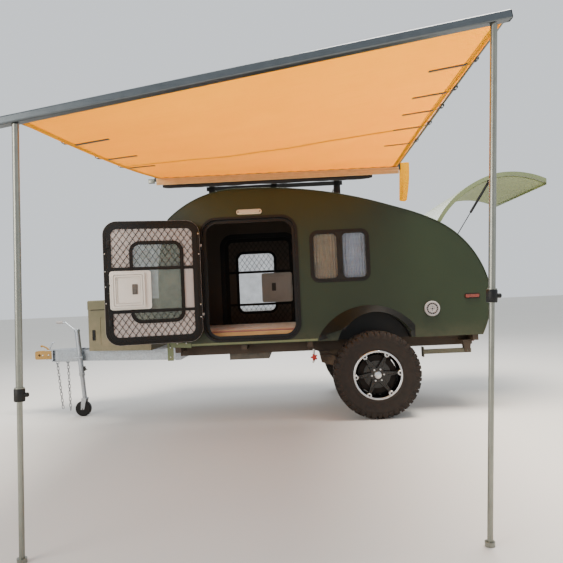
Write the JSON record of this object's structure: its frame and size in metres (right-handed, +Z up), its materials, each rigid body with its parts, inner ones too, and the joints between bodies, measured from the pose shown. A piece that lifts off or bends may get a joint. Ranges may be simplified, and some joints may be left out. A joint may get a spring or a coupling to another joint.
{
  "type": "teardrop trailer",
  "caption": "Off-road teardrop camping trailer with hollow cabin, side doors, open rear galley hatch, lugged tyres, drawbar box, jockey wheel and a side awning on poles",
  "frame": {"origin": "centre of the coupling's cross bore", "axes": "+X towards the rear of the trailer, +Y towards the off side (away from the awning), +Z up"},
  "size_m": [4.9361, 4.5095, 2.2428],
  "materials": {
    "olive_paint": "satin",
    "light_green_paint": "satin",
    "interior_laminate": "satin",
    "white_laminate": "satin",
    "hatch_liner": "matte",
    "mattress_fabric": "woven",
    "black_frame": "satin",
    "black_plastic": "matte",
    "screen_black": "matte",
    "cream_panel": "satin",
    "window_glass": "clear",
    "tyre_rubber": "matte",
    "wheel_alloy": "gloss with machined lip",
    "chassis_brown": "satin",
    "galvanised_steel": "galvanised",
    "coupling_block": "satin",
    "black_rubber": "matte",
    "suspension_black": "satin",
    "tank_plastic": "matte",
    "leg_steel": "satin",
    "box_paint": "satin",
    "rack_black": "matte",
    "lamp_cream": "satin",
    "lamp_amber": "gloss",
    "lamp_red": "gloss",
    "vent_white": "satin",
    "awning_aluminium": "satin",
    "bag_black": "matte",
    "canopy_orange": "woven",
    "pole_aluminium": "satin"
  },
  "bodies": {
    "trailer": {"side_wall_left": "olive_paint", "side_wall_right": "olive_paint", "roof_shell": "olive_paint", "floor_panel": "interior_laminate", "bulkhead": "interior_laminate", "galley_cabinet": "white_laminate", "galley_worktop": "white_laminate", "mattress": "mattress_fabric", "door_frame_left": "black_frame", "door_frame_right": "black_frame", "window_frames": "black_plastic", "window_panes": "window_glass", "wheel_flares": "black_plastic", "strut_studs": "black_frame", "chassis_frame": "chassis_brown", "drawbar": "galvanised_steel", "coupling_block": "coupling_block", "safety_chains": "galvanised_steel", "jockey_tube": "galvanised_steel", "suspension": "suspension_black", "water_tank": "tank_plastic", "corner_plates": "light_green_paint", "front_box": "box_paint", "roof_rack": "rack_black", "strip_lamp": "lamp_cream", "marker_lamps": "lamp_amber", "tail_lamps": "lamp_red", "wall_vent": "vent_white", "awning_case": "awning_aluminium", "awning_bag": "bag_black", "awning_canopy": "canopy_orange", "awning_front_rail": "awning_aluminium", "awning_rafters": "pole_aluminium", "awning_poles": "pole_aluminium"},
    "door_left": {"door_leaf_left": "olive_paint", "door_screen_left": "screen_black", "door_glass_left": "window_glass", "door_panel_left": "cream_panel"},
    "door_right": {"door_leaf_right": "olive_paint", "door_screen_right": "screen_black", "door_glass_right": "window_glass", "door_panel_right": "cream_panel"},
    "hatch": {"hatch_shell": "light_green_paint", "hatch_lining": "hatch_liner", "hatch_studs": "black_frame"},
    "strut_tube_left": {"strut_tube_left": "black_frame"},
    "strut_tube_right": {"strut_tube_right": "black_frame"},
    "strut_rod_left": {"strut_rod_left": "black_frame"},
    "strut_rod_right": {"strut_rod_right": "black_frame"},
    "wheel_left": {"wheel_tyre_left": "tyre_rubber", "wheel_rim_left": "wheel_alloy"},
    "wheel_right": {"wheel_tyre_right": "tyre_rubber", "wheel_rim_right": "wheel_alloy"},
    "jockey_leg": {"jockey_leg": "galvanised_steel"},
    "jockey_fork": {"jockey_fork": "galvanised_steel"},
    "jockey_wheel": {"jockey_wheel": "black_rubber"},
    "stabiliser_leg_left": {"stabiliser_leg_left": "leg_steel"},
    "stabiliser_leg_right": {"stabiliser_leg_right": "leg_steel"},
    "box_lid": {"front_box_lid": "box_paint"}
  },
  "joints": [
    {"name": "wheel_left_spin", "type": "hinge", "parent": "trailer", "child": "wheel_left", "pos_m": [3.285, -0.826, -0.22], "axis": [0, 1, 0], "continuous": true},
    {"name": "wheel_right_spin", "type": "hinge", "parent": "trailer", "child": "wheel_right", "pos_m": [3.285, 0.826, -0.22], "axis": [0, 1, 0], "continuous": true},
    {"name": "door_left_hinge", "type": "hinge", "parent": "trailer", "child": "door_left", "pos_m": [1.795, -0.772, 0.658], "axis": [0, 0, 1], "range_deg": [0, 165]},
    {"name": "door_right_hinge", "type": "hinge", "parent": "trailer", "child": "door_right", "pos_m": [1.795, 0.772, 0.658], "axis": [0, 0, 1], "range_deg": [0, 165]},
    {"name": "hatch_hinge", "type": "hinge", "parent": "trailer", "child": "hatch", "pos_m": [3.9, 0, 1.09], "axis": [0, 1, 0], "range_deg": [0, 89]},
    {"name": "jockey_leg_slide", "type": "slide", "parent": "trailer", "child": "jockey_leg", "axis": [-0.082, 0, 0.9966], "range_m": [0, 0.2]},
    {"name": "jockey_fork_swivel", "type": "hinge", "parent": "jockey_leg", "child": "jockey_fork", "pos_m": [0.509, -0.205, -0.443], "axis": [-0.082, 0, 0.9966], "continuous": true},
    {"name": "jockey_wheel_spin", "type": "hinge", "parent": "jockey_fork", "child": "jockey_wheel", "pos_m": [0.492, -0.205, -0.52], "axis": [0, 1, 0], "continuous": true},
    {"name": "stabiliser_leg_left_hinge", "type": "hinge", "parent": "trailer", "child": "stabiliser_leg_left", "pos_m": [4.135, -0.6, -0.07], "axis": [0, -1, 0], "range_deg": [0, 90]},
    {"name": "stabiliser_leg_right_hinge", "type": "hinge", "parent": "trailer", "child": "stabiliser_leg_right", "pos_m": [4.135, 0.6, -0.07], "axis": [0, -1, 0], "range_deg": [0, 90]},
    {"name": "box_lid_hinge", "type": "hinge", "parent": "trailer", "child": "box_lid", "pos_m": [1.281, 0, 0.44], "axis": [0, 1, 0], "range_deg": [0, 80]},
    {"name": "strut_tube_left_hinge", "type": "hinge", "parent": "hatch", "child": "strut_tube_left", "pos_m": [4.38186, -0.688, 1.42164], "axis": [0, 1, 0], "range_deg": [0, 24.3]},
    {"name": "strut_rod_left_slide", "type": "slide", "parent": "strut_tube_left", "child": "strut_rod_left", "axis": [0.5499, 0, 0.8352], "range_m": [0, 0.2585]},
    {"name": "strut_tube_right_hinge", "type": "hinge", "parent": "hatch", "child": "strut_tube_right", "pos_m": [4.38186, 0.688, 1.42164], "axis": [0, 1, 0], "range_deg": [0, 24.3]},
    {"name": "strut_rod_right_slide", "type": "slide", "parent": "strut_tube_right", "child": "strut_rod_right", "axis": [0.5499, 0, 0.8352], "range_m": [0, 0.2585]}
  ],
  "couplings": [
    {"joint": "strut_tube_left_hinge", "follows": "hatch_hinge", "ratio": 0.27262},
    {"joint": "strut_rod_left_slide", "follows": "hatch_hinge", "m_per_rad": 0.16617},
    {"joint": "strut_tube_right_hinge", "follows": "hatch_hinge", "ratio": 0.27262},
    {"joint": "strut_rod_right_slide", "follows": "hatch_hinge", "m_per_rad": 0.16617}
  ]
}
